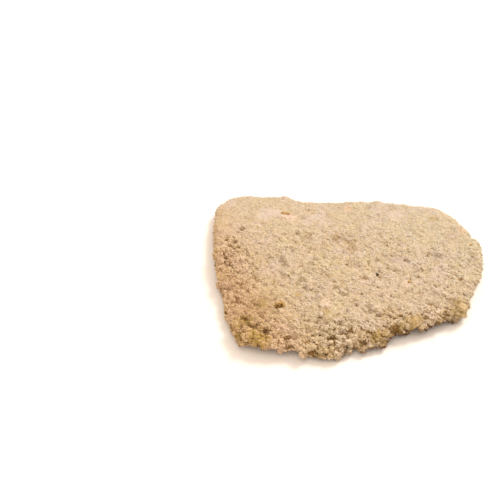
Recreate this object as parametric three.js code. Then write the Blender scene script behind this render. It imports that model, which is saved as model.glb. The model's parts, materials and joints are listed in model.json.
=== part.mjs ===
// A breaded schnitzel lying flat: one flattened cutlet, all round in a crust of fine breadcrumbs.
// Millimetres, +Z up. The origin is on the floor under the middle of the schnitzel, +X runs along
// its length towards the blunt tip, and the craggiest edge faces -Y, the front.

import * as THREE from "three";
import { SimplexNoise } from "three/addons/math/SimplexNoise.js";

const { degToRad, euclideanModulo, lerp, radToDeg, smoothstep, seededRandom } = THREE.MathUtils;

// Driving dimensions
const length = 174; // along X, over the crust
const depth = 149; // along Y, over the crust
const middleThickness = 11; // through both crusts, in the middle
const edgeThickness = 9.2; // the same, just inside the rounded edge
const shoulderWidth = 8.5; // how far in the rounded edge starts on the top
const heelWidth = 4; // the same on the underside
const widestHeight = 4.2; // the edge stands out furthest at this height

// The outline before its edge turns craggy: corners as shares of half the length and half the
// depth, anticlockwise from the tip, and how far from each corner the outline starts to turn.
const corners = [
  { name: "tip", x: 1.03, y: 0.22, turn: 28 },
  { name: "back right", x: 0.78, y: 0.85, turn: 17 },
  { name: "back left", x: -0.965, y: 0.99, turn: 19 },
  { name: "left side", x: -1.02, y: 0.22, turn: 34 },
  { name: "front left", x: -0.82, y: -0.9, turn: 17 },
  { name: "front middle", x: -0.13, y: -0.965, turn: 20 },
  { name: "front right", x: 0.765, y: -0.56, turn: 8 },
];

// Lobes and notches of the edge, by their direction from the middle, in degrees: each reaches so
// far to both sides and stands out, or cuts in where negative, by so many millimetres.
const lobes = [
  { name: "back hump", at: 128, reach: 15, out: 2.2 },
  { name: "front lobe", at: 255, reach: 10, out: 3.2 },
  { name: "front notch", at: 268, reach: 5, out: -1.6 },
  { name: "front hollow", at: 300, reach: 22, out: -2.2 },
  { name: "right notch", at: 323, reach: 5, out: -2.8 },
  { name: "right hollow", at: 345, reach: 9, out: -1 },
];
const lobeWidth = 0.22; // a lobe reaches this share of the way in

// Stretches of the edge that curl up off the floor, by direction as well.
const curls = [
  { name: "front left", at: 232, reach: 20, height: 3.2 },
  { name: "front right", at: 305, reach: 30, height: 3 },
  { name: "right", at: 345, reach: 24, height: 1.8 },
  { name: "back", at: 75, reach: 30, height: 1.6 },
  { name: "left", at: 165, reach: 26, height: 2.2 },
];
const curlWidth = 0.3; // a curl bends this share of the way in

// Relief of the crust
const waveLength = 58;
const waveHeight = 0.8; // broad swells of the meat under the crust
const humpRise = 1.6; // the top over the back hump, above the top around it
const humpReach = 34;
const cragLength = 8;
const cragHeight = 1.1;
const grainLength = 4.2;
const grainHeight = 0.75;
const dentHeight = 1.1; // dents in the underside, which is pressed flat elsewhere
const clumpRadius = [3, 5.5]; // lumps of crumbs, mostly along the craggy stretches of the edge
const edgeClumps = { count: 64, height: [0.7, 1.7] };
const topClumps = { count: 60, height: [0.4, 0.9] };
const flatRadius = 15; // the underside is quite flat this far from the middle

// Triangle sizes
const topStep = 2.6;
const edgeStep = 2.4;
const undersideStep = 4.2;

const crumbColour = 0xdfbf99;
const seed = 7;

seededRandom(seed);
const noise = new SimplexNoise({ random: () => seededRandom() });
const between = ([low, high]) => lerp(low, high, seededRandom());

// The outline as one closed path of straight runs with a curve at each corner.
function makeOutline() {
  const points = corners.map((c) => new THREE.Vector2((c.x * length) / 2, (c.y * depth) / 2));
  const path = new THREE.Path();
  corners.forEach(({ turn }, i) => {
    const corner = points[i];
    const before = points[(i + corners.length - 1) % corners.length];
    const after = points[(i + 1) % corners.length];
    const start = corner.clone().add(before.clone().sub(corner).setLength(turn));
    const end = corner.clone().add(after.clone().sub(corner).setLength(turn));
    if (i === 0) path.moveTo(start.x, start.y);
    else path.lineTo(start.x, start.y);
    path.quadraticCurveTo(corner.x, corner.y, end.x, end.y);
  });
  path.closePath();
  return path;
}

const outline = makeOutline();
const around = outline.getLength();
const meanRadius = around / (2 * Math.PI);

// How craggy the crust is: 0.55 on the smooth back, 1 along the front and left edges.
function cragginess(x, y, share) {
  const towardsFront = 1 - smoothstep(y / depth, -0.42, 0.2);
  const towardsLeft = (1 - smoothstep(x / length, -0.45, -0.15)) * (1 - smoothstep(y / depth, 0, 0.35));
  return 0.55 + 0.45 * Math.max(towardsFront * share ** 3, 0.65 * towardsLeft, 0.4 * share ** 6);
}

// How near the direction of (x, y) is to a stretch of the edge: 1 in its middle, 0 past its reach.
function nearness(x, y, { at, reach }) {
  const turned = euclideanModulo(radToDeg(Math.atan2(y, x)) - at + 180, 360) - 180;
  return 1 - smoothstep(Math.abs(turned), reach / 3, reach);
}

// How far the edge stands out or cuts in at (x, y), which is a share of the way out.
function lobeAt(x, y, share) {
  const fade = smoothstep(share, 1 - lobeWidth, 1);
  return lobes.reduce((sum, lobe) => sum + lobe.out * fade * nearness(x, y, lobe), 0);
}

// How far the edge is curled up there.
function curlAt(x, y, share) {
  const bend = smoothstep(share, 1 - curlWidth, 1) ** 1.5;
  return curls.reduce((sum, curl) => sum + curl.height * bend * nearness(x, y, curl), 0);
}

// The top of the meat and crust, before crags and grain.
function topHeight(x, y, share) {
  const body = lerp(middleThickness, edgeThickness, share ** 2);
  const waves = waveHeight * noise.noise(x / waveLength, y / waveLength);
  const hump = lobes.find(({ name }) => name === "back hump");
  const humpAt = degToRad(hump.at);
  const fromHump = Math.hypot(x - Math.cos(humpAt) * meanRadius, y - Math.sin(humpAt) * meanRadius);
  const rise = humpRise * (1 - smoothstep(fromHump, 0, humpReach));
  return body + waves + rise + curlAt(x, y, share);
}

// Crags and grain, as a height along the surface's normal.
function relief({ x, y, z }, rough) {
  const crags = noise.noise3d(x / cragLength, y / cragLength, z / cragLength);
  const grain = noise.noise3d(x / grainLength, y / grainLength, z / grainLength + 40);
  return rough * (cragHeight * crags + grainHeight * grain);
}

// Each ring of points runs once round the schnitzel. It is a share of the way out from the middle,
// or, once share is 1, an angle round the edge: 90 degrees on top, 0 where the edge stands out
// furthest, and -90 degrees on the floor.
function ringPoint(fraction, { share, angle }) {
  const edge = outline.getPointAt(euclideanModulo(fraction, 1));
  const tangent = outline.getTangentAt(euclideanModulo(fraction, 1));
  const outwards = new THREE.Vector3(tangent.y, -tangent.x, 0);
  const inset = (angle < 0 ? heelWidth : shoulderWidth) * (1 - Math.cos(angle));
  const out = share * (1 - inset / edge.length());
  const flat = new THREE.Vector3(edge.x * out, edge.y * out, 0);
  flat.addScaledVector(outwards, lobeAt(flat.x, flat.y, out));
  const { x, y } = flat;
  const lift = curlAt(x, y, out);
  const reach = angle < 0 ? widestHeight : topHeight(x, y, out) - lift - widestHeight;
  const base = new THREE.Vector3(x, y, lift + widestHeight + reach * Math.sin(angle));
  const normal = outwards.multiplyScalar(Math.cos(angle));
  normal.z = Math.sin(angle);
  return { base, normal, out };
}

// Lumps of crumbs: more of them towards the front, where the crust is craggiest.
function makeClumps({ count, height }, pickRing) {
  const clumps = [];
  while (clumps.length < count) {
    const { base, out } = ringPoint(seededRandom(), pickRing());
    if (seededRandom() < cragginess(base.x, base.y, out) ** 3) {
      clumps.push({ centre: base, radius: between(clumpRadius), height: between(height) });
    }
  }
  return clumps;
}

const clumps = [
  ...makeClumps(edgeClumps, () => ({ share: 1, angle: degToRad(between([-45, 75])) })),
  ...makeClumps(topClumps, () => ({ share: Math.sqrt(seededRandom()), angle: Math.PI / 2 })),
];

function clumpHeightAt(point) {
  return clumps.reduce((most, { centre, radius, height }) => {
    const away = Math.min(point.distanceTo(centre) / radius, 1);
    return Math.max(most, height * (1 - away ** 2) ** 1.5);
  }, 0);
}

// A point of the finished surface.
function crustPoint(fraction, ring) {
  const { base, normal, out } = ringPoint(fraction, ring);
  const rough = cragginess(base.x, base.y, out);
  const height = relief(base, rough) + clumpHeightAt(base);
  if (!ring.underside) {
    base.addScaledVector(normal, height);
  } else {
    const fromMiddle = Math.hypot(base.x, base.y);
    const dent = dentHeight * noise.noise(base.x / cragLength, base.y / cragLength);
    base.z += Math.max(dent, 0) * smoothstep(fromMiddle, flatRadius, 2 * flatRadius);
  }
  base.z = Math.max(base.z, 0);
  return base;
}

// Rings from the middle of the top, out over the edge and back to the middle of the underside.
function makeRings() {
  const rings = [];
  const innerRadius = meanRadius - shoulderWidth;
  const topRings = Math.round(innerRadius / topStep);
  for (let i = 0; i < topRings; i++) {
    rings.push({ share: i / topRings, angle: Math.PI / 2, step: topStep });
  }
  const arcLength = (width, height) => (Math.PI / 2) * Math.sqrt((width ** 2 + height ** 2) / 2);
  const arcSteps = (width, height) => Math.round(arcLength(width, height) / edgeStep);
  const shoulderRings = arcSteps(shoulderWidth, edgeThickness - widestHeight);
  for (let i = 0; i <= shoulderRings; i++) {
    rings.push({ share: 1, angle: (Math.PI / 2) * (1 - i / shoulderRings), step: edgeStep });
  }
  const heelRings = arcSteps(heelWidth, widestHeight);
  for (let i = 1; i <= heelRings; i++) {
    rings.push({ share: 1, angle: (-Math.PI / 2) * (i / heelRings), step: edgeStep });
  }
  const lowRings = Math.round((meanRadius - heelWidth - flatRadius) / undersideStep);
  const flatShare = flatRadius / meanRadius;
  for (let i = 1; i <= lowRings; i++) {
    const share = lerp(1, flatShare, i / lowRings);
    rings.push({ share, angle: -Math.PI / 2, step: undersideStep, underside: true });
  }
  rings.push({ share: 0, angle: -Math.PI / 2, step: undersideStep, underside: true });
  return rings;
}

// Joins two rings of points with triangles. Each ring is {first, count, phase}.
function stitch(inner, outer, triangles) {
  const fractionOf = (ring, i) => (i + ring.phase) / ring.count;
  let i = 0;
  let j = 0;
  while (i < inner.count || j < outer.count) {
    const nextInner = i < inner.count ? fractionOf(inner, i + 1) : Infinity;
    const nextOuter = j < outer.count ? fractionOf(outer, j + 1) : Infinity;
    const a = inner.first + (i % inner.count);
    const b = outer.first + (j % outer.count);
    if (nextInner < nextOuter) {
      triangles.push(a, b, inner.first + ((i + 1) % inner.count));
      i++;
    } else {
      triangles.push(a, b, outer.first + ((j + 1) % outer.count));
      j++;
    }
  }
}

// A middle point is joined to its ring as a fan.
function fan(middle, ring, facesUp, triangles) {
  for (let i = 0; i < ring.count; i++) {
    const a = ring.first + i;
    const b = ring.first + ((i + 1) % ring.count);
    triangles.push(middle, ...(facesUp ? [a, b] : [b, a]));
  }
}

function makeSchnitzel() {
  const points = [];
  const triangles = [];
  let last = null;
  makeRings().forEach((ring, row) => {
    const { base } = ringPoint(0, ring);
    const size = Math.hypot(base.x, base.y) / outline.getPointAt(0).length();
    const count = size < 1e-6 ? 1 : Math.max(6, Math.round((around * size) / ring.step));
    const made = { first: points.length, count, phase: (row % 2) / 2 };
    for (let i = 0; i < count; i++) points.push(crustPoint((i + made.phase) / count, ring));
    if (last && last.count === 1) fan(last.first, made, true, triangles);
    else if (last && count === 1) fan(made.first, last, false, triangles);
    else if (last) stitch(last, made, triangles);
    last = made;
  });
  const geometry = new THREE.BufferGeometry().setFromPoints(points);
  geometry.setIndex(triangles);
  geometry.computeBoundingBox();
  const { min, max } = geometry.boundingBox;
  geometry.translate(-(min.x + max.x) / 2, -(min.y + max.y) / 2, -min.z);
  geometry.scale(length / (max.x - min.x), depth / (max.y - min.y), 1);
  geometry.computeVertexNormals();
  const crust = new THREE.MeshStandardMaterial({ color: crumbColour, roughness: 0.95, metalness: 0 });
  const mesh = new THREE.Mesh(geometry, crust);
  mesh.name = "schnitzel";
  return mesh;
}

const model = new THREE.Group();
model.add(makeSchnitzel());

export default model;
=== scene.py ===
import json
import math

import bpy
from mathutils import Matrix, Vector

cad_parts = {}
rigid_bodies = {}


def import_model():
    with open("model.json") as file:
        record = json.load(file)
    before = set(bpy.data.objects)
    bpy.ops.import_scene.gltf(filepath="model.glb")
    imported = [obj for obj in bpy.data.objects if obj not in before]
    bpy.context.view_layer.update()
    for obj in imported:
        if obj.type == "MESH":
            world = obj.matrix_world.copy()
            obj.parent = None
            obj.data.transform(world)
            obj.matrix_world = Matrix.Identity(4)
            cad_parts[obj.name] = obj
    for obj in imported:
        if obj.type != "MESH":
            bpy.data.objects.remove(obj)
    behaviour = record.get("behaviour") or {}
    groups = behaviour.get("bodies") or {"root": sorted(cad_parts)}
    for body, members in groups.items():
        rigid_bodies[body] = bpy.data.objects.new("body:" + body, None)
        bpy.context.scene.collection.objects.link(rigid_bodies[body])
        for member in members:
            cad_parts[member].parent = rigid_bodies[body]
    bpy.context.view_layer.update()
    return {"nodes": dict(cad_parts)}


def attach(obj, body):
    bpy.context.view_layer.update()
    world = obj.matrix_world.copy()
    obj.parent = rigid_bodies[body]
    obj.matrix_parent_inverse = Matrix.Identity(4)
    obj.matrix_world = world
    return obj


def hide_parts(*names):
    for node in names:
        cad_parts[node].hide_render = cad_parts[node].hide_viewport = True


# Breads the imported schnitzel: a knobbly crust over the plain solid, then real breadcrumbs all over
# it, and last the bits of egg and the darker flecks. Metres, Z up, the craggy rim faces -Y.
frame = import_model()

mm = 0.001


def deselectAll():
    if bpy.context.object and bpy.context.object.mode != "OBJECT":
        bpy.ops.object.mode_set(mode="OBJECT")
    bpy.ops.object.select_all(action="DESELECT")


def activate(piece):
    deselectAll()
    piece.select_set(True)
    bpy.context.view_layer.objects.active = piece


def applyModifiers(piece):
    activate(piece)
    for modifier in list(piece.modifiers):
        bpy.ops.object.modifier_apply(modifier=modifier.name)


# A copy with a mesh of its own, free of what the source hangs on.
def copyPiece(source, name):
    piece = source.copy()
    piece.data = source.data.copy()
    piece.parent = None
    piece.name = piece.data.name = name
    for key in list(piece.keys()):
        del piece[key]
    bpy.context.scene.collection.objects.link(piece)
    return piece


# A soft step from 0 at low to 1 at high.
def ramp(value, low, high):
    share = min(max((value - low) / (high - low), 0), 1)
    return share * share * (3 - 2 * share)


# How craggy the crust is at a place: 1 on the front rim, less along the left side and over the
# middle, 0 at the back.
craggyParts = {
    "frontFrom": 28 * mm,      # in front of the middle
    "frontTo": 62 * mm,
    "slant": 0.3,              # towards the right the front rim runs back by this share
    "leftFrom": 30 * mm,       # left of the middle
    "leftTo": 80 * mm,
    "leftShare": 0.75,
    "leftBackFrom": 10 * mm,   # the left side turns smooth from here back
    "leftBackTo": 50 * mm,
    "middleShare": 0.35,
    "middleFrom": 12 * mm,     # and so does the middle
    "middleTo": 58 * mm,
}


def cragginess(place):
    c = craggyParts
    front = ramp(c["slant"] * max(place.x, 0) - place.y, c["frontFrom"], c["frontTo"])
    left = ramp(-place.x, c["leftFrom"], c["leftTo"])
    left *= 1 - ramp(place.y, c["leftBackFrom"], c["leftBackTo"])
    middle = 1 - ramp(place.y, c["middleFrom"], c["middleTo"])
    return max(front, c["leftShare"] * left, c["middleShare"] * middle)


def paintCraggy(piece):
    piece.vertex_groups.clear()
    group = piece.vertex_groups.new(name="craggy")
    for vertex in piece.data.vertices:
        group.add([vertex.index], cragginess(vertex.co), "REPLACE")


# Nodes, for the scattering, the relief and the materials. Inputs go by number or by name.

def addNode(tree, kind, inputs=None, **settings):
    node = tree.nodes.new(kind)
    for key, value in settings.items():
        setattr(node, key, value)
    for key, value in (inputs or {}).items():
        connect(tree, node.inputs[key], value)
    return node


def connect(tree, socket, value):
    if isinstance(value, bpy.types.NodeSocket):
        tree.links.new(value, socket)
    else:
        socket.default_value = value


def addMath(tree, operation, *values):
    node = tree.nodes.new("ShaderNodeMath")
    node.operation = operation
    for socket, value in zip(node.inputs, values):
        connect(tree, socket, value)
    return node.outputs[0]


def multiply(tree, first, second):
    return addMath(tree, "MULTIPLY", first, second)


# Vector sums: some give a vector, and those that measure give a number.
def addVectorMath(tree, operation, values):
    return addNode(tree, "ShaderNodeVectorMath", dict(enumerate(values)), operation=operation).outputs


def vectorOf(tree, operation, *values):
    return addVectorMath(tree, operation, values)["Vector"]


def numberOf(tree, operation, *values):
    return addVectorMath(tree, operation, values)["Value"]


def scaleVector(tree, vector, factor):
    return addNode(tree, "ShaderNodeVectorMath", {0: vector, 3: factor}, operation="SCALE").outputs[0]


def splitVector(tree, vector):
    return addNode(tree, "ShaderNodeSeparateXYZ", {0: vector}).outputs


def joinVector(tree, *parts):
    return addNode(tree, "ShaderNodeCombineXYZ", dict(enumerate(parts))).outputs[0]


def randomNumber(tree, low, high, seed):
    node = addNode(tree, "FunctionNodeRandomValue", {2: low, 3: high, 8: seed}, data_type="FLOAT")
    return node.outputs[1]


def randomWhole(tree, low, high, seed):
    node = addNode(tree, "FunctionNodeRandomValue", {4: low, 5: high, 8: seed}, data_type="INT")
    return node.outputs[2]


# Crumbs lie stroked one way: each tips by up to tilt, times the share, and turns by up to swing
# from that way.
def randomTurn(tree, way, tilt, swing, share, seed):
    turns = {0: (-tilt, -tilt, way - swing), 1: (tilt, tilt, way + swing), 8: seed}
    turn = addNode(tree, "FunctionNodeRandomValue", turns, data_type="FLOAT_VECTOR").outputs[0]
    return vectorOf(tree, "MULTIPLY", turn, joinVector(tree, share, share, 1.0))


def attribute(tree, name, kind="FLOAT"):
    return addNode(tree, "GeometryNodeInputNamedAttribute", {"Name": name}, data_type=kind).outputs[0]


def store(tree, geometry, name, value, kind="FLOAT", domain="INSTANCE"):
    inputs = {"Geometry": geometry, "Name": name, "Value": value}
    node = addNode(tree, "GeometryNodeStoreNamedAttribute", inputs, data_type=kind, domain=domain)
    return node.outputs[0]


def addNoise(tree, place, size, detail=2.0, roughness=0.5):
    inputs = {"Vector": place, "Scale": 1 / size, "Detail": detail, "Roughness": roughness}
    return addNode(tree, "ShaderNodeTexNoise", inputs).outputs[0]


# Runs evenly from toLow to toHigh while the value runs from fromLow to fromHigh.
def rampBetween(tree, value, fromLow, fromHigh, toLow, toHigh):
    inputs = {0: value, 1: fromLow, 2: fromHigh, 3: toLow, 4: toHigh}
    return addNode(tree, "ShaderNodeMapRange", inputs).outputs[0]


# How near a place is to any of the spots, from 0 to the spot's own strength, with a ragged border.
# A spot is x, y, z, its radius, all in millimetres, and its strength.

spotBorder = {
    "raggedSize": 3.5 * mm,
    "ragged": 1.6,   # how far the border wanders, in radii
    "outer": 0.5,    # where the spot starts, in radii, before it wanders
    "inner": -0.1,   # and where it is full
}


def addSpots(tree, place, spots):
    b = spotBorder
    wobble = addNoise(tree, place, b["raggedSize"])
    total = None
    for x, y, z, radius, strength in spots:
        away = numberOf(tree, "DISTANCE", place, (x * mm, y * mm, z * mm))
        ragged = addMath(tree, "MULTIPLY_ADD", wobble, -b["ragged"] * radius * mm, away)
        outer = b["outer"] * radius * mm
        inner = b["inner"] * radius * mm
        share = rampBetween(tree, ragged, outer, inner, 0, strength)
        total = share if total is None else addMath(tree, "MAXIMUM", total, share)
    return total


# A set of geometry nodes, which runTree runs on a piece and then throws away.
def startTree(name):
    tree = bpy.data.node_groups.new(name, "GeometryNodeTree")
    tree.interface.new_socket("Geometry", in_out="INPUT", socket_type="NodeSocketGeometry")
    tree.interface.new_socket("Geometry", in_out="OUTPUT", socket_type="NodeSocketGeometry")
    return tree, tree.nodes.new("NodeGroupInput").outputs[0]


def runTree(tree, geometry, piece):
    tree.links.new(geometry, tree.nodes.new("NodeGroupOutput").inputs[0])
    piece.modifiers.new(tree.name, "NODES").node_group = tree
    applyModifiers(piece)
    bpy.data.node_groups.remove(tree)


# Grains are modelled a metre across, a few of each kind, and scattered at their real size.

grainRadius = 0.5
grainDetail = 1   # of a scattered grain
grainFaces = 20   # and so many faces that gives it


# An angular ball, its points moved about at random, then made longer, narrower and lower.
def addGrain(detail, roughness, shape, seed):
    deselectAll()
    bpy.ops.mesh.primitive_ico_sphere_add(subdivisions=detail, radius=grainRadius)
    bpy.ops.object.mode_set(mode="EDIT")
    bpy.ops.mesh.select_all(action="SELECT")
    bpy.ops.transform.vertex_random(offset=roughness, seed=seed)
    bpy.ops.transform.resize(value=shape, center_override=(0, 0, 0))
    bpy.ops.mesh.normals_make_consistent(inside=False)
    bpy.ops.object.mode_set(mode="OBJECT")
    return bpy.context.object


def makeGrains(kind, g):
    collection = bpy.data.collections.new(kind)
    for i in range(g["shapes"]):
        grain = addGrain(grainDetail, g["roughness"], g["shape"], g["shapeSeed"] + i)
        grain.name = f"{kind}.{i}"
        for other in grain.users_collection:   # out of the scene's collection, into its kind's
            other.objects.unlink(grain)
        collection.objects.link(grain)
    return collection


def removeGrains(collection):
    for grain in list(collection.objects):
        bpy.data.objects.remove(grain)
    bpy.data.collections.remove(collection)


# How grains are scattered, where a piece says nothing else.
evenScatter = {
    "kinds": 1,           # how many kinds share the places
    "kind": 0,            # and the number of this one
    "smoothShare": 1.0,   # the share of the places that is taken on smooth parts of the host,
    "craggyShare": 1.0,   # on craggy ones
    "underShare": 0.0,    # and on the underside
    "smoothScale": 1.0,   # how large grains are on smooth parts,
    "craggyScale": 1.0,   # and on craggy ones
    "smoothTilt": 1.0,    # how much of their tilt they keep on smooth parts,
    "smoothLift": 0.0,    # how much higher they lie there
    "smoothTone": 0.0,    # and the darkest tone they have there, from 0 to 1
    "pitFrom": 5.0,       # a pit starts this many millimetres deep
    "pitTo": 6.0,         # and is a full one from here on
    "pitShare": 1.0,      # the share of the places that is taken in it
    "pitScale": 1.0,      # how large grains are in it
    "pitShade": 0.0,       # and how much darker, as painted shade
    "bareShare": 1.0,     # the same for bare spots
    "bareScale": 1.0,
}

underSlope = (-0.95, -0.6)   # how much a face looks up: underside at the first, side at the second
mostPicks = 100              # a grain's shape goes by a number up to this, counted round and round


# Scatters grains over a copy of the host and keeps only the grains. All kinds with the same spacing
# and seed share one set of places, and each takes those whose number falls to it.
def scatter(name, host, grains, s, material=None):
    piece = copyPiece(host, name)
    tree, hostMesh = startTree(name)
    facing = splitVector(tree, addNode(tree, "GeometryNodeInputNormal").outputs[0])[2]
    craggy = attribute(tree, "craggy")
    depth = attribute(tree, "depth")
    bare = attribute(tree, "bare")

    def byCraggy(whereSmooth, whereCraggy):
        return rampBetween(tree, craggy, 0, 1, whereSmooth, whereCraggy)

    def byDepth(outside, inPits):
        return rampBetween(tree, depth, s["pitFrom"], s["pitTo"], outside, inPits)

    def byBare(whereBare):
        return rampBetween(tree, bare, 0, 1, 1, whereBare)

    under = rampBetween(tree, facing, *underSlope, s["underShare"], 1)
    spread = multiply(tree, under, byCraggy(s["smoothShare"], s["craggyShare"]))
    thinned = multiply(tree, byDepth(1, s["pitShare"]), byBare(s["bareShare"]))
    places = addNode(tree, "GeometryNodeDistributePointsOnFaces", {
        "Mesh": hostMesh, "Distance Min": s["spacing"], "Density Max": s["most"],
        "Density Factor": multiply(tree, spread, thinned), "Seed": s["seed"]},
        distribute_method="POISSON").outputs
    lift = randomNumber(tree, *s["lift"], s["seed"] + 1)
    lift = addMath(tree, "ADD", lift, byCraggy(s["smoothLift"], 0))
    lifted = addNode(tree, "GeometryNodeSetPosition", {
        "Geometry": places["Points"], "Offset": scaleVector(tree, places["Normal"], lift)}).outputs[0]

    number = randomWhole(tree, 0, s["kinds"] - 1, s["seed"] + 2)
    mine = addNode(tree, "FunctionNodeCompare", {2: number, 3: s["kind"]},
                   data_type="INT", operation="EQUAL").outputs[0]
    coarser = multiply(tree, byCraggy(s["smoothScale"], s["craggyScale"]), byBare(s["bareScale"]))
    coarser = multiply(tree, coarser, byDepth(1, s["pitScale"]))
    mostlySmall = addMath(tree, "POWER", randomNumber(tree, 0, 1, s["seed"] + 3), s["smallShare"])
    size = multiply(tree, rampBetween(tree, mostlySmall, 0, 1, *s["size"]), coarser)
    shapes = addNode(tree, "GeometryNodeCollectionInfo", {
        "Collection": grains, "Separate Children": True, "Reset Children": True}).outputs[0]
    pick = randomWhole(tree, 0, mostPicks, s["seed"] + 4)
    turn = randomTurn(tree, *s["turn"], byCraggy(s["smoothTilt"], 1), s["seed"] + 5)
    placed = addNode(tree, "GeometryNodeInstanceOnPoints", {
        "Points": lifted, "Selection": mine, "Instance": shapes, "Pick Instance": True,
        "Instance Index": pick, "Rotation": turn, "Scale": size}).outputs[0]

    tone = randomNumber(tree, 0, 1, s["seed"] + 6)
    tone = addMath(tree, "MAXIMUM", tone, byCraggy(s["smoothTone"], 0))
    # Painted shade: grains deep in pits get a darker tone.
    tone = addMath(tree, "ADD", byDepth(0, -s["pitShade"]), tone)
    toned = store(tree, placed, "tone", tone)
    numbered = store(tree, toned, "cell", addNode(tree, "GeometryNodeInputIndex").outputs[0])
    real = addNode(tree, "GeometryNodeRealizeInstances", {0: numbered}).outputs[0]
    mapped = giveOwnCells(tree, layOnFloor(tree, real), s["cells"])
    if material:
        inputs = {"Geometry": mapped, "Material": material}
        mapped = addNode(tree, "GeometryNodeSetMaterial", inputs).outputs[0]
    runTree(tree, mapped, piece)
    return piece


# What would reach below the floor is pressed flat on it.
def layOnFloor(tree, geometry):
    parts = splitVector(tree, addNode(tree, "GeometryNodeInputPosition").outputs[0])
    pressed = joinVector(tree, parts[0], parts[1], addMath(tree, "MAXIMUM", parts[2], 0.0))
    inputs = {"Geometry": geometry, "Position": pressed}
    return addNode(tree, "GeometryNodeSetPosition", inputs).outputs[0]


# Every grain gets a cell of its own on the map that colours are baked to.
def giveOwnCells(tree, geometry, cells):
    own = splitVector(tree, attribute(tree, "UVMap", "FLOAT_VECTOR"))
    cell = attribute(tree, "cell")
    column = addMath(tree, "MODULO", cell, cells)
    row = addMath(tree, "FLOOR", addMath(tree, "DIVIDE", cell, cells))
    across = addMath(tree, "DIVIDE", addMath(tree, "ADD", column, own[0]), cells)
    up = addMath(tree, "DIVIDE", addMath(tree, "ADD", row, own[1]), cells)
    return store(tree, geometry, "OFBake", joinVector(tree, across, up), "FLOAT2", "CORNER")


# Materials

crustTones = {
    "patchSize": 18 * mm,
    "patchDetail": 4,
    "patchRoughness": 0.7,
    "pink": (0.65, 0.52, 0.45),
    "pinkFrom": 0.5,                # of the patches' noise, which runs from 0 to 1
    "pinkTo": 0.68,
    "pinkShare": 0.4,
    "yellow": (0.62, 0.51, 0.29),
    "yellowFrom": 0.5,
    "yellowTo": 0.34,
    "yellowShare": 0.35,
    "brown": (0.96, 0.82, 0.67),    # painted shade: darker and browner mostly to the left, from this far out
    "brownWay": (-0.9, -0.44, 0),
    "brownFrom": 38 * mm,
    "brownTo": 76 * mm,
    "middle": (0.97, 0.955, 0.935),
    "back": (0.935, 0.967, 0.99),   # to the back and right the crumbs turn cooler
    "backWay": (0.6, 0.8, 0),
    "backFrom": 0,
    "backTo": 55 * mm,
    "smooth": (0.865, 0.865, 0.9),  # painted shade: where the crust is smooth its crumbs are a little darker, for the shade their shallower gaps lack
    # The colour of the painted shade low down and on the low front rim.
    "damp": (0.21, 0.105, 0.035),
    "lowFrom": 3.5 * mm,            # crumbs near the floor get a little painted shade
    "lowTo": 0.8 * mm,
    "lowShare": 0.5,
    # The colour that darkens the dark spots: painted shade in single holes.
    "holeShade": (0.46, 0.30, 0.16),
    "bare": (0.57, 0.46, 0.365),
    "rosy": (0.66, 0.48, 0.35),
    "golden": (0.46, 0.30, 0.09),
    "olive": (0.31, 0.195, 0.045),
    "speckSize": 1.8 * mm,          # the egg tones come in specks of about this size
    "speckFrom": 0.38,
    "speckTo": 0.56,
    "speckLeast": 0.35,             # and between the specks they are this share as strong
    # Painted shade in the creases of the crust: its colour, and the depths over which it comes in.
    "creaseShade": (0.205, 0.105, 0.03),
    "deepFrom": 0.1,                # how deep in a crease, in millimetres
    "deepTo": 0.9,
}

# Single holes get painted shade inside, and some places are a little darker all over.
darkSpots = [
    (-67, 37, 11, 2.15, 1.0), (-72, 24, 11, 2.2, 0.95), (-75, 4, 11, 1.6, 0.7), (-76, 7, 11, 5.0, 0.2),
    (-80, 12, 10, 2.3, 0.8), (-54, -32, 10, 9, 0.26), (-31, 31, 11, 1.6, 0.6), (-5, 27, 11, 5.0, 0.35),
    (2, 17, 11, 5.0, 0.2), (4, 3, 11, 4, 0.2), (51, 11, 11, 2.1, 1.0), (71, 28, 10, 7.0, 0.1),
    (-17, -47, 10, 3.5, 0.35), (69, -11, 11, 1.7, 0.7), (-66, -46, 9, 2.4, 0.9),
    (-26, -72, 6, 2.6, 0.4), (-14, -60, 9, 2.2, 0.6), (25, -54, 9, 2.8, 0.85), (57, -42, 9, 2.6, 0.6),
    (-53, -57, 10, 1.8, 0.5), (-55, -41, 10, 3.5, 0.4), (-22, -48, 10, 1.6, 0.4),
]

# Egg shows through, yellow where it is thin and olive where it is thick.
goldenSpots = [
    (-70, -49, 9, 4.5, 0.55), (-57, -62, 11, 7, 1.0), (-15, -71, 8, 5, 0.4), (16, -59, 9, 5, 0.8),
    (37, -48, 11, 6, 0.75), (65, -37, 11, 7, 0.55), (66, -41, 8, 4, 0.5), (-33, -25, 11, 2.2, 0.8),
    (-16, -40, 11, 2.6, 0.7), (-44, -33, 10, 3.2, 0.55), (3, 57, 10, 2.5, 0.35), (76, 37, 9, 3.5, 0.3),
    (-31, 22, 11, 2.0, 0.35), (-86, 13, 8, 5, 0.4), (4, 21, 11, 6, 0.35), (3, -60, 8, 8, 0.4),
    (22, -42, 10, 7, 0.3),
]

oliveSpots = [
    (-64, -47, 10, 5.0, 1.0), (-69, -59, 9, 4.0, 0.7), (-57, -62, 11, 5.0, 0.5),
    (-55, -32, 10, 4.0, 0.6), (26, -54, 10, 4.5, 1.0), (12, -60, 8, 3.5, 0.7), (57, -42, 9, 3.0, 0.6),
    (53, -47, 8, 2.5, 0.6), (-6, 28, 11, 3, 0.3), (59, 48, 9, 2.8, 0.6), (-23, -72, 6, 3, 0.5),
]

# Meat shows through.
rosySpots = [
    (-36, 48, 11, 4.2, 0.75), (3, 57, 10, 3.0, 0.8), (77, 38, 8, 3.5, 0.5), (35, -15, 10, 2.2, 0.6),
    (-16, -32, 11, 4, 0.5), (-41, -69, 8, 9, 0.25), (-77, 6, 11, 8, 0.2), (48, -42, 11, 5, 0.25),
    (70, 58, 8, 5, 0.25),
]

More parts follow.
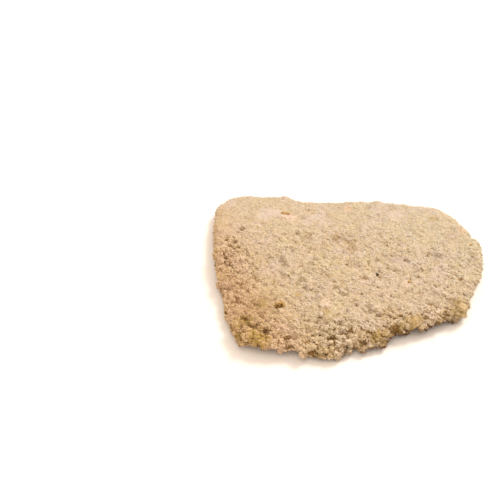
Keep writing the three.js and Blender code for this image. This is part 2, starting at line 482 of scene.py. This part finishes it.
# Places where the crumbs are thin and the coat shows smooth and pale.
bareSpots = [
    (-52, 50, 12, 5.5, 0.7), (-46, 51, 12, 5, 0.7), (-38, 10, 11, 4.5, 0.3), (35, 50, 10, 5, 0.5),
    (46, 18, 10, 4.5, 0.3), (70, 27, 10, 7, 0.25), (-15, -34, 11, 3.5, 0.35), (-23, -12, 11, 4, 0.3),
    (-24, 43, 10, 4, 0.3), (60, -32, 10, 4, 0.4), (36, -13, 11, 3, 0.4), (-24, 7, 11, 3, 0.4),
    (-71, -49, 11, 3.2, 0.3), (37, -35, 10, 3.5, 0.5),
]

# Places where the crust lies calmer, with its crumbs as thick as elsewhere.
calmSpots = [
    (-36, -57, 10, 11, 0.9), (-46, -66, 9, 7, 0.6), (-14, -56, 9, 9, 0.3), (-73, -8, 11, 7, 0.5),
    (60, 10, 11, 5, 0.8),
]


# A material with its roughness and shine, its nodes, and the socket that its colour goes to.
def startMaterial(name, finish):
    material = bpy.data.materials.new(name)
    material.use_nodes = True
    tree = material.node_tree
    shader = tree.nodes["Principled BSDF"]
    shader.inputs["Roughness"].default_value = finish["roughness"]
    shader.inputs["Specular IOR Level"].default_value = finish["shine"]
    return material, tree, shader.inputs["Base Color"]


def addRamp(tree, value, stops):
    node = addNode(tree, "ShaderNodeValToRGB", {0: value})
    elements = node.color_ramp.elements
    while len(elements) < len(stops):
        elements.new(0.5)
    for element, (place, colour) in zip(elements, stops):
        element.position = place
        element.color = (*colour, 1)
    return node.outputs[0]


def addMix(tree, share, first, second, blend="MIX"):
    node = tree.nodes.new("ShaderNodeMix")
    node.data_type = "RGBA"
    node.blend_type = blend
    connect(tree, node.inputs[0], share)
    for socket, value in ((node.inputs[6], first), (node.inputs[7], second)):
        connect(tree, socket, value if isinstance(value, bpy.types.NodeSocket) else (*value, 1))
    return node.outputs[2]


def objectPlace(tree):
    return addNode(tree, "ShaderNodeTexCoord").outputs["Object"]


# What the relief and the scattering have left on a piece.
def painted(tree, name):
    return addNode(tree, "ShaderNodeAttribute", attribute_name=name).outputs["Fac"]


# Patches of pinker and yellower crumbs, painted shade that makes them darker and browner to the left,
# cooler ones to the back, painted shade low down and in holes, smooth pale places, the places where
# meat or egg shows through, and last painted shade where the crust is smooth.
def addPatches(tree, colour):
    c = crustTones
    place = objectPlace(tree)
    patch = addNoise(tree, place, c["patchSize"], c["patchDetail"], c["patchRoughness"])
    pinker = rampBetween(tree, patch, c["pinkFrom"], c["pinkTo"], 0, c["pinkShare"])
    yellower = rampBetween(tree, patch, c["yellowFrom"], c["yellowTo"], 0, c["yellowShare"])
    colour = addMix(tree, yellower, addMix(tree, pinker, colour, c["pink"]), c["yellow"])

    # Painted shade: darker and browner towards the left, where less light falls.
    toLeft = numberOf(tree, "DOT_PRODUCT", place, c["brownWay"])
    leftShade = rampBetween(tree, toLeft, c["brownFrom"], c["brownTo"], 0, 1)
    colour = addMix(tree, leftShade, colour, c["brown"], "MULTIPLY")
    toBack = numberOf(tree, "DOT_PRODUCT", place, c["backWay"])
    cooler = rampBetween(tree, toBack, c["backFrom"], c["backTo"], 0, 1)
    colour = addMix(tree, 1.0, colour, addMix(tree, cooler, c["middle"], c["back"]), "MULTIPLY")

    # Painted shade near the floor and on the low front rim.
    low = rampBetween(tree, splitVector(tree, place)[2], c["lowFrom"], c["lowTo"], 0, c["lowShare"])
    damp = addMath(tree, "MAXIMUM", low, painted(tree, "damp"))
    colour = addMix(tree, damp, colour, c["damp"], "MULTIPLY")
    colour = addMix(tree, addSpots(tree, place, rosySpots), colour, c["rosy"])
    colour = addMix(tree, addSpots(tree, place, bareSpots), colour, c["bare"])
    # Painted shade in single holes, and a little darkening in some places.
    colour = addMix(tree, addSpots(tree, place, darkSpots), colour, c["holeShade"], "MULTIPLY")

    speck = addNoise(tree, place, c["speckSize"])
    speck = rampBetween(tree, speck, c["speckFrom"], c["speckTo"], c["speckLeast"], 1)
    golden = multiply(tree, addSpots(tree, place, goldenSpots), speck)
    olive = multiply(tree, addSpots(tree, place, oliveSpots), speck)
    colour = addMix(tree, olive, addMix(tree, golden, colour, c["golden"]), c["olive"])
    # Painted shade where the crust is smooth.
    return addMix(tree, painted(tree, "smooth"), colour, c["smooth"], "MULTIPLY")


# The crust under the crumbs: a copy of the solid, drawn in by about half a crumb, with lumps of
# stuck crumbs on its craggy parts, then fused and made knobbly.

crust = {
    "merge": 0.001 * mm,       # points of the solid this near each other are one
    "sink": 0.35 * mm,
    "craggySink": 1.55 * mm,   # so much more where it is craggy, for the lumps to stand on
    "voxel": 0.78 * mm,        # how finely it is fused
    "soften": 0.5,
    "softenTimes": 1,
    "floorGap": 0.35 * mm,     # room for the crumbs under it
    "finish": {"roughness": 0.9, "shine": 0.2},
    "grainSize": 1.2 * mm,
    "grainDetail": 4,
    "grainRoughness": 0.65,
    "stops": [(0.3, (0.34, 0.21, 0.09)), (0.5, (0.53, 0.40, 0.24)), (0.7, (0.66, 0.54, 0.38))],
}

lumps = {
    **evenScatter,
    "shapes": 10, "roughness": 0.14, "shape": (1, 0.75, 0.55), "shapeSeed": 11,
    "spacing": 3.9 * mm, "most": 120000, "seed": 31, "cells": 10,
    "size": (3.4 * mm, 7.0 * mm), "smallShare": 1.2,
    "turn": (0, 3, 3), "lift": (-0.4 * mm, 1.1 * mm),
    "smoothShare": -0.35,   # under 0, so that they start only where it is craggy enough
}

# All heights are whole heights from the lowest to the highest point.
relief = {
    "smoothShare": 0.15,     # at the back the relief is this share of its full height
    "craggyShare": 1.3,
    "bareShare": 0.2,
    "stretchWay": -0.8,      # knobs, clumps and grain run a little longer this way, in radians
    "stretch": 1.6,
    "knobSize": 6 * mm,
    "knobDetail": 1,
    "knobHeight": 1.4 * mm,
    "clumpSize": 2.6 * mm,
    "clumpSoftness": 0.3,
    "clumpHeight": 2.0 * mm,
    "grainSize": 1.6 * mm,
    "grainHeight": 1.0 * mm,
    "creaseSize": 2.0 * mm,
    "creaseDetail": 3,
    "creaseRoughness": 0.6,
    "creaseAside": (0.5, 0.3, 0.1),   # far enough off for the creases to miss the grain
    "creaseFrom": 0.46,
    "creaseTo": 0.36,
    "creaseDepth": 1.2 * mm,
    "cavityFrom": 1.9,       # what lies this many millimetres below the plain solid is a cavity
}

# The shape of the rim low down, and where painted shade darkens it.
rim = {
    "undercutHeight": 3.0 * mm,       # below this the rim draws in
    "undercutDepth": 0.4 * mm,
    "footSide": (-15 * mm, 10 * mm),  # to the right of here the front rim stands on a foot,
    "footFrom": 6.0 * mm,             # from this height down
    "footTo": 3.2 * mm,
    "footOut": 2.4 * mm,
    "paintedShadeFrom": 9.0 * mm,             # crumbs there that face down get painted shade, from this height down,
    "paintedShadeTo": 7.0 * mm,
    "paintedShadeSlope": (0.5, 0.0),          # more so the less they face up
    "lowShadeFrom": 6.5 * mm,              # and from this height down all crumbs get it, by this share
    "lowShadeTo": 3.5 * mm,
    "lowShadeShare": 0.7,
    "paintedShadeEnd": (60 * mm, 68 * mm),    # up to the right tip, which gets none
}

# Single deep holes, in the same form as the coloured spots; the strength is the depth in millimetres.
holeSpots = [
    (-66, -46, 9, 2.4, 1.9), (-25, -72, 6, 3, 1.8), (-14, -60, 9, 2.5, 2.0), (25, -54, 9, 3.2, 2.3),
    (57, -42, 9, 2.7, 2.6), (-67, 37, 11, 2.0, 2.0), (-72, 24, 11, 2.2, 1.8), (-76, 7, 11, 2.2, 1.0),
    (-80, 12, 10, 1.8, 1.3), (-31, 31, 11, 1.4, 1.4), (51, 11, 11, 1.9, 1.8), (69, -11, 11, 1.5, 1.2),
    (-53, -56, 10, 2, 1.8), (-70, -66, 4, 3.0, 2.2), (-40, -62, 9, 2.5, 1.8), (5, -63, 7, 2.3, 1.5),
]

# Lumps of coating, the same way.
lumpSpots = [
    (-70, -49, 9, 3.6, 2.4), (-58, -61, 9, 3.0, 1.6), (37, -49, 10, 5.0, 0.7), (66, -38, 9, 3.5, 1.2),
    (86, 20, 7, 9.0, 1.6),
]


def crustMaterial():
    c = crust
    material, tree, baseColour = startMaterial("crust", c["finish"])
    grain = addNoise(tree, objectPlace(tree), c["grainSize"], c["grainDetail"], c["grainRoughness"])
    colour = addPatches(tree, addRamp(tree, grain, c["stops"]))
    # Painted shade in the creases of the crust.
    creaseShade = rampBetween(tree, painted(tree, "depth"), crustTones["deepFrom"], crustTones["deepTo"], 0, 1)
    connect(tree, baseColour, addMix(tree, creaseShade, colour, crustTones["creaseShade"]))
    return material


# Draws a piece in, all over or by how much of it is in a group.
def sink(piece, depth, group=""):
    modifier = piece.modifiers.new("sink", "DISPLACE")
    modifier.strength = -depth
    modifier.mid_level = 0
    modifier.vertex_group = group
    applyModifiers(piece)


def makeCrust():
    solid = frame["nodes"]["schnitzel"]
    piece = copyPiece(solid, "crust")
    piece.data.materials.clear()
    activate(piece)
    bpy.ops.object.mode_set(mode="EDIT")
    bpy.ops.mesh.select_all(action="SELECT")
    bpy.ops.mesh.remove_doubles(threshold=crust["merge"])
    bpy.ops.mesh.customdata_custom_splitnormals_clear()
    bpy.ops.object.mode_set(mode="OBJECT")
    sink(piece, crust["sink"])
    paintCraggy(piece)
    sink(piece, crust["craggySink"], "craggy")

    grains = makeGrains("lump", lumps)
    lump = scatter("lumps", piece, grains, lumps)
    removeGrains(grains)
    print("lumps:", len(lump.data.polygons) // grainFaces)

    activate(piece)
    lump.select_set(True)
    bpy.ops.object.join()
    remesh = piece.modifiers.new("fuse", "REMESH")
    remesh.mode = "VOXEL"
    remesh.voxel_size = crust["voxel"]
    smooth = piece.modifiers.new("soften", "SMOOTH")
    smooth.factor = crust["soften"]
    smooth.iterations = crust["softenTimes"]
    applyModifiers(piece)
    paintCraggy(piece)
    addRelief(piece, solid)
    liftOffFloor(piece, crust["floorGap"])
    piece.data.materials.append(crustMaterial())
    bpy.ops.object.shade_smooth()
    return piece


# Makes the crust knobbly. Each point keeps how bare and smooth it is, how much painted shade it gets,
# and how many millimetres deep it lies, for the crumbs that come on it.
def addRelief(piece, solid):
    tree, mesh = startTree("relief")
    place = addNode(tree, "GeometryNodeInputPosition").outputs[0]
    normal = addNode(tree, "GeometryNodeInputNormal").outputs[0]
    craggy = attribute(tree, "craggy")
    bare = addSpots(tree, place, bareSpots)
    smooth = addMath(tree, "SUBTRACT", 1.0, craggy)
    height = reliefHeight(tree, place, craggy, bare)
    sideways = splitVector(tree, place)[0]
    atRight = multiply(tree, rampBetween(tree, sideways, *rim["footSide"], 0, 1), craggy)
    level = vectorOf(tree, "MULTIPLY", normal, (1, 1, 0))
    away = vectorOf(tree, "ADD", scaleVector(tree, normal, height),
                    scaleVector(tree, level, rimShift(tree, place, atRight)))
    depth = depthInRelief(tree, place, normal, height, solid)

    kept = store(tree, mesh, "bare", bare, domain="POINT")
    kept = store(tree, kept, "smooth", smooth, domain="POINT")
    moved = addNode(tree, "GeometryNodeSetPosition", {"Geometry": kept, "Offset": away}).outputs[0]
    kept = store(tree, moved, "damp", paintedShadeOfRim(tree, place, normal, atRight), domain="POINT")
    runTree(tree, store(tree, kept, "depth", depth, domain="POINT"), piece)


# Knobs, clumps of crumbs, grain, creases, single lumps and single holes.
def reliefHeight(tree, place, craggy, bare):
    r = relief
    turned = addNode(tree, "ShaderNodeVectorRotate", {"Vector": place, "Angle": -r["stretchWay"]},
                     rotation_type="Z_AXIS").outputs[0]
    flow = vectorOf(tree, "MULTIPLY", turned, (1 / r["stretch"], 1, 1))
    knobs = addBumps(tree, addNoise(tree, flow, r["knobSize"], r["knobDetail"]), r["knobHeight"])
    inputs = {"Vector": flow, "Scale": 1 / r["clumpSize"], "Smoothness": r["clumpSoftness"]}
    clump = addNode(tree, "ShaderNodeTexVoronoi", inputs, feature="SMOOTH_F1").outputs["Distance"]
    clumps = addBumps(tree, clump, -r["clumpHeight"])
    grains = addBumps(tree, addNoise(tree, flow, r["grainSize"]), r["grainHeight"])
    aside = vectorOf(tree, "ADD", flow, r["creaseAside"])
    crease = addNoise(tree, aside, r["creaseSize"], r["creaseDetail"], r["creaseRoughness"])
    creases = rampBetween(tree, crease, r["creaseFrom"], r["creaseTo"], 0, -r["creaseDepth"])
    coarse = addMath(tree, "ADD", knobs, clumps)
    fine = addMath(tree, "ADD", grains, creases)

    share = rampBetween(tree, craggy, 0, 1, r["smoothShare"], r["craggyShare"])
    calm = addMath(tree, "MAXIMUM", bare, addSpots(tree, place, calmSpots))
    calm = rampBetween(tree, calm, 0, 1, 1, r["bareShare"])
    height = multiply(tree, addMath(tree, "ADD", coarse, fine), multiply(tree, share, calm))
    height = addMath(tree, "MULTIPLY_ADD", addSpots(tree, place, lumpSpots), mm, height)
    return addMath(tree, "MULTIPLY_ADD", addSpots(tree, place, holeSpots), -mm, height)


# How far the rim moves out, or in where this is below 0.
def rimShift(tree, place, atRight):
    height = splitVector(tree, place)[2]
    undercut = rampBetween(tree, height, rim["undercutHeight"], 0, 0, -rim["undercutDepth"])
    foot = rampBetween(tree, height, rim["footFrom"], rim["footTo"], 0, rim["footOut"])
    return addMath(tree, "MULTIPLY_ADD", foot, atRight, undercut)


# How deep a point lies in the relief, and, in a cavity, below the plain solid.
def depthInRelief(tree, place, normal, height, solid):
    plain = addNode(tree, "GeometryNodeObjectInfo", {"Object": solid}, transform_space="RELATIVE")
    nearest = addNode(tree, "GeometryNodeProximity", {0: plain.outputs["Geometry"]},
                      target_element="FACES").outputs
    out = vectorOf(tree, "SUBTRACT", nearest["Position"], place)
    sign = addMath(tree, "SIGN", numberOf(tree, "DOT_PRODUCT", out, normal))
    below = addMath(tree, "DIVIDE", multiply(tree, nearest["Distance"], sign), mm)
    cavity = addMath(tree, "MAXIMUM", addMath(tree, "SUBTRACT", below, relief["cavityFrom"]), 0)
    return addMath(tree, "MULTIPLY_ADD", height, -1 / mm, cavity)


# Painted shade on the low front rim, most where it faces down, standing in for the shade under the rim.
def paintedShadeOfRim(tree, place, normal, atRight):
    parts = splitVector(tree, place)
    facing = splitVector(tree, normal)[2]
    damp = multiply(tree, rampBetween(tree, facing, *rim["paintedShadeSlope"], 0, 1),
                    rampBetween(tree, parts[2], rim["paintedShadeFrom"], rim["paintedShadeTo"], 0, 1))
    lowShade = rampBetween(tree, parts[2], rim["lowShadeFrom"], rim["lowShadeTo"], 0, rim["lowShadeShare"])
    damp = addMath(tree, "MAXIMUM", damp, lowShade)
    damp = multiply(tree, damp, rampBetween(tree, parts[0], *rim["paintedShadeEnd"], 1, 0))
    return multiply(tree, damp, atRight)


# Noise from 0 to 1 turned into heights above and below the surface.
def addBumps(tree, value, height):
    return multiply(tree, addMath(tree, "SUBTRACT", value, 0.5), height)


# The underside is pressed flat a little above the floor, so that its crumbs fit under it.
def liftOffFloor(piece, gap):
    activate(piece)
    bpy.ops.object.mode_set(mode="EDIT")
    bpy.ops.mesh.select_mode(type="VERT")
    bpy.ops.mesh.select_all(action="DESELECT")
    bpy.ops.object.mode_set(mode="OBJECT")
    for vertex in piece.data.vertices:
        vertex.select = vertex.co.z < gap
    bpy.ops.object.mode_set(mode="EDIT")
    bpy.ops.transform.resize(value=(1, 1, 0), center_override=(0, 0, gap))
    bpy.ops.object.mode_set(mode="OBJECT")


# Breadcrumbs: five kinds share the same places, so that together they cover the crust. Their
# colours run from the darkest to the lightest tone.

crumbKinds = {
    "paleCrumbs": {
        "size": (0.9 * mm, 2.2 * mm), "roughness": 0.2, "shape": (1, 0.75, 0.6),
        "stops": [(0.0, (0.29, 0.17, 0.055)), (0.15, (0.55, 0.45, 0.31)), (1.0, (0.66, 0.56, 0.43))]},
    "fawnCrumbs": {
        "size": (0.9 * mm, 2.4 * mm), "roughness": 0.22, "shape": (1, 0.65, 0.5),
        "stops": [(0.0, (0.26, 0.145, 0.04)), (0.15, (0.53, 0.42, 0.28)), (1.0, (0.64, 0.54, 0.40))]},
    "tanCrumbs": {
        "size": (0.8 * mm, 2.0 * mm), "roughness": 0.22, "shape": (1, 0.8, 0.6),
        "stops": [(0.0, (0.195, 0.10, 0.025)), (0.2, (0.48, 0.36, 0.22)), (1.0, (0.59, 0.48, 0.34))]},
    "roseCrumbs": {
        "size": (0.9 * mm, 2.3 * mm), "roughness": 0.22, "shape": (1, 0.6, 0.5),
        "stops": [(0.0, (0.25, 0.14, 0.04)), (0.15, (0.53, 0.41, 0.29)), (1.0, (0.64, 0.53, 0.42))]},
    "coarseCrumbs": {
        "size": (1.1 * mm, 2.8 * mm), "roughness": 0.26, "shape": (1, 0.75, 0.55),
        "stops": [(0.0, (0.26, 0.145, 0.04)), (0.15, (0.51, 0.41, 0.27)), (1.0, (0.62, 0.52, 0.39))]},
}

crumbPlaces = {
    **evenScatter,
    "shapes": 8,
    "spacing": 0.65 * mm, "most": 4e6, "seed": 5, "kinds": len(crumbKinds),
    "cells": 100,   # along each side of the map: room for 10,000 crumbs of a kind
    "turn": (-0.8, 0.9, 0.9), "smoothTilt": 0.3,
    "lift": (-0.2 * mm, 0.3 * mm), "smoothLift": -0.3 * mm,
    "smallShare": 1.6, "smoothScale": 0.82, "smoothTone": 0.35, "underShare": 0.4,
    "pitFrom": 0.2, "pitTo": 1.1, "pitShare": 0.85, "pitScale": 0.7, "pitShade": 0.6,
    "bareShare": 0.25, "bareScale": 0.6,
    "finish": {"roughness": 0.85, "shine": 0.25},
}


def crumbMaterial(name, stops):
    material, tree, baseColour = startMaterial(name, crumbPlaces["finish"])
    connect(tree, baseColour, addPatches(tree, addRamp(tree, painted(tree, "tone"), stops)))
    return material


def makeCrumbs(host):
    pieces = []
    for number, (name, kind) in enumerate(crumbKinds.items()):
        settings = {**crumbPlaces, **kind, "kind": number, "shapeSeed": 100 * (number + 1)}
        grains = makeGrains(name, settings)
        piece = scatter(name, host, grains, settings, crumbMaterial(name, kind["stops"]))
        removeGrains(grains)
        triangles = len(piece.data.polygons)
        print(f"{name}: {triangles // grainFaces} crumbs, {triangles} triangles")
        pieces.append(piece)
    return pieces


# Bits that lie among the crumbs: where, how long, wide and high in millimetres, and how far turned.

bitShape = {
    "detail": 2,
    "roughness": 0.11,
    "above": 30 * mm,   # each is dropped from here on to the crust,
    "inwards": 0.98,    # and where it would fall past the rim, from this much nearer the middle
    "finish": {"roughness": 0.7, "shine": 0.15},
    "grainSize": 1.6 * mm,
    "grainDetail": 3,
}

bits = {
    "brownedBits": {
        "lift": 0.7 * mm,
        "stops": [
            (0.38, (0.07, 0.028, 0.004)), (0.5, (0.16, 0.072, 0.012)), (0.62, (0.30, 0.155, 0.035))],
        "places": [
            (-45.2, -34.4, 3.4, 2.4, 2.2, 0.35), (-42.8, -33.8, 2.0, 1.6, 1.7, -0.5),
            (-53, -57, 2.2, 1.5, 1.4, 0.8), (-80, 13, 3.0, 1.2, 1.0, 0.3)]},
    "amberBits": {
        "lift": 0.6 * mm,
        "stops": [(0.38, (0.28, 0.145, 0.03)), (0.5, (0.43, 0.25, 0.07)), (0.62, (0.56, 0.38, 0.17))],
        "places": [
            (-42.8, -31.8, 2.6, 2.4, 2.0, 0.5), (-45.0, -32.0, 2.2, 2.0, 1.8, -0.3),
            (-41.4, -33.8, 1.8, 1.4, 1.4, 0.9), (-47.4, -33.2, 1.6, 1.4, 1.2, 0.2),
            (-39.8, 51.2, 4.4, 1.5, 0.8, 0.0), (-37.2, 51.4, 3.6, 1.2, 0.8, 0.1),
            (80, 20, 2.0, 1.2, 1.0, 0.5), (37, -13, 2.2, 1.4, 0.9, 0.4)]},
    "darkSpecks": {
        "lift": 1.0 * mm,
        "stops": [(0.38, (0.018, 0.009, 0.004)), (0.62, (0.06, 0.03, 0.012))],
        "places": [(17.6, -8.0, 1.8, 1.5, 1.4, 0.2), (17.0, -6.4, 1.1, 0.9, 0.8, 0.5)]},
}


def makeBits(name, host):
    b = bits[name]
    down = (0, 0, -1)
    parts = []
    for number, (x, y, length, width, height, turn) in enumerate(b["places"]):
        hit = False
        while not hit:
            start = (x * mm, y * mm, bitShape["above"])
            hit, place, normal, face = host.ray_cast(start, down)
            x = bitShape["inwards"] * x
            y = bitShape["inwards"] * y
        size = (length * mm, width * mm, height * mm)
        part = addGrain(bitShape["detail"], bitShape["roughness"], size, number + 1)
        part.location = place + b["lift"] * normal
        part.rotation_euler = (0, 0, turn)
        bpy.ops.object.transform_apply()
        parts.append(part)
    activate(parts[0])
    for part in parts:
        part.select_set(True)
    bpy.ops.object.join()
    piece = bpy.context.object
    piece.name = piece.data.name = name
    piece.data.materials.append(bitMaterial(name, b["stops"]))
    return piece


def bitMaterial(name, stops):
    b = bitShape
    material, tree, baseColour = startMaterial(name, b["finish"])
    grain = addNoise(tree, objectPlace(tree), b["grainSize"], b["grainDetail"])
    connect(tree, baseColour, addRamp(tree, grain, stops))
    return material


crustPiece = makeCrust()
print("crust:", len(crustPiece.data.polygons), "faces")
crumbPieces = makeCrumbs(crustPiece)
bitPieces = [makeBits(name, crustPiece) for name in bits]
print("bits:", ", ".join(piece.name for piece in bitPieces))
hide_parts("schnitzel")
for piece in [crustPiece, *crumbPieces, *bitPieces]:
    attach(piece, "root")


# Floor, light and camera

studio = {
    "floorSize": 12.0,
    "floorColour": (0.95, 0.95, 0.95),
    "floorShadeTint": (0.81, 0.755, 0.70),   # painted shade: a little darker and warmer round the piece, so its shadow shows darker and warmer
    "floorFinish": {"roughness": 1.0, "shine": 0.0},
    "nearFrom": 0.25,
    "nearTo": 0.6,
    "worldColour": (1.0, 0.92, 0.84),
    "worldStrength": 1.2,
    "lightDistance": 2.4,
    "lights": {
        "key": {"way": (0.7, 0.7, 1.0), "size": 0.8, "power": 45.2, "colour": (1.0, 0.99, 0.975)},
        "fill": {"way": (-0.1, -0.45, 1.0), "size": 1.4, "power": 9.0, "colour": (1.0, 0.86, 0.7)},
    },
}


def makeStudio():
    deselectAll()
    bpy.ops.mesh.primitive_plane_add(size=studio["floorSize"])
    floor = bpy.context.object
    floor.name = "floor"
    material, tree, baseColour = startMaterial("floor", studio["floorFinish"])
    away = numberOf(tree, "LENGTH", objectPlace(tree))
    share = rampBetween(tree, away, studio["nearFrom"], studio["nearTo"], 0, 1)
    # Painted shade: the floor is darker and warmer near the piece.
    connect(tree, baseColour, addMix(tree, share, studio["floorShadeTint"], studio["floorColour"]))
    floor.data.materials.append(material)

    world = bpy.data.worlds.new("studio")
    world.use_nodes = True
    background = world.node_tree.nodes["Background"]
    background.inputs["Color"].default_value = (*studio["worldColour"], 1)
    background.inputs["Strength"].default_value = studio["worldStrength"]
    bpy.context.scene.world = world

    for name, lamp in studio["lights"].items():
        place = studio["lightDistance"] * Vector(lamp["way"]).normalized()
        bpy.ops.object.light_add(type="AREA", location=place)
        light = bpy.context.object
        light.name = name
        light.data.size = lamp["size"]
        light.data.energy = lamp["power"]
        light.data.color = lamp["colour"]
        light.rotation_euler = (-place).to_track_quat("-Z", "Y").to_euler()


cameraSetup = {
    "lens": 85,
    "elevation": math.radians(42),
    "distance": 0.770,
    "aim": (-0.062, 0.027, 0.0),
}


def makeCamera():
    c = cameraSetup
    back = Vector((0, -math.cos(c["elevation"]), math.sin(c["elevation"])))
    bpy.ops.object.camera_add(location=Vector(c["aim"]) + c["distance"] * back)
    camera = bpy.context.object
    camera.data.lens = c["lens"]
    camera.rotation_euler = (math.pi / 2 - c["elevation"], 0, 0)
    bpy.context.scene.camera = camera


makeStudio()
makeCamera()
bpy.context.scene.view_settings.view_transform = "Standard"
print("studio and camera are in place")
